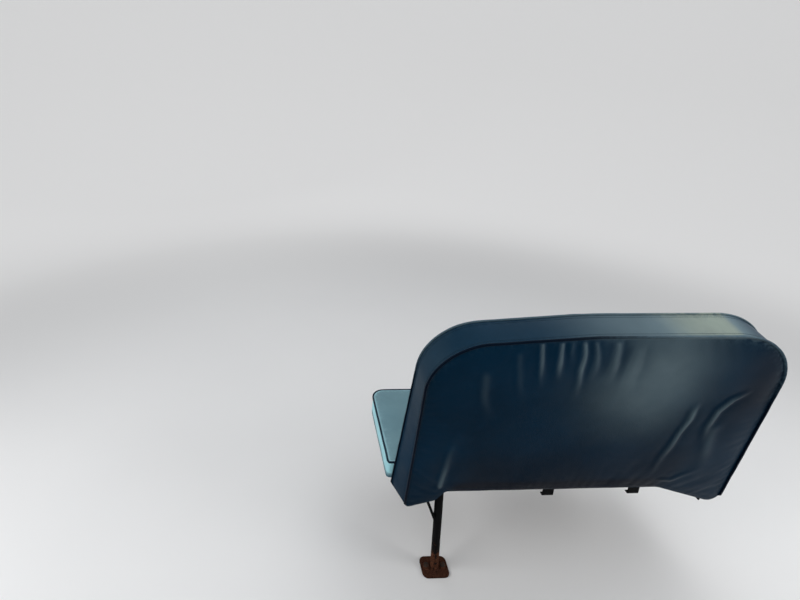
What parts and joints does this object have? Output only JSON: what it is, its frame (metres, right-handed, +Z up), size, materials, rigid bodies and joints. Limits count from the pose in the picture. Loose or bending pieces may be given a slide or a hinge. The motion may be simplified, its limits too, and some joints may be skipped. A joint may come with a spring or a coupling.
{
  "type": "minibus bench seat",
  "caption": "Minibus bench seat with a reclined padded back, a flip-up padded cushion, a tubular steel frame, an aisle leg on two foot plates and a side wall bracket.",
  "frame": {"origin": "on the floor, in the middle of the four bolt holes of the aisle leg's two foot plates", "axes": "+X across the seat from the aisle to the side wall, +Y the way the passenger faces, +Z up"},
  "size_m": [0.993, 0.5039, 0.9191],
  "materials": {
    "vinyl_navy": "grained navy blue vinyl with a soft sheen, bleached along its top, sewn with welts",
    "vinyl_blue": "grained pale blue vinyl with a soft sheen, sewn with dark welts",
    "frame_black": "black paint, semi-gloss, worn at the edges",
    "foot_rust": "black paint rusted through to brown",
    "plywood": "bare plywood",
    "clip_zinc": "dull zinc plating"
  },
  "bodies": {
    "root": {"back_pad": "vinyl_navy", "back_hoop": "frame_black", "rear_tube": "frame_black", "front_tube": "frame_black", "rail_aisle": "frame_black", "rail_middle": "frame_black", "rail_wall": "frame_black", "leg_rear": "frame_black", "leg_front": "frame_black", "leg_strut": "frame_black", "latch_aisle": "frame_black", "latch_wall": "frame_black", "wall_bracket": "frame_black", "foot_rear": "foot_rust", "foot_front": "foot_rust"},
    "cushion": {"cushion_pad": "vinyl_blue", "cushion_board": "plywood", "hinge_clip_aisle": "clip_zinc", "hinge_clip_wall": "clip_zinc"}
  },
  "joints": [
    {"name": "cushion_flip", "type": "hinge", "parent": "root", "child": "cushion", "pos_m": [0.3, 0.1405, 0.313], "axis": [-1, 0, 0], "range_deg": [0, 80]}
  ]
}
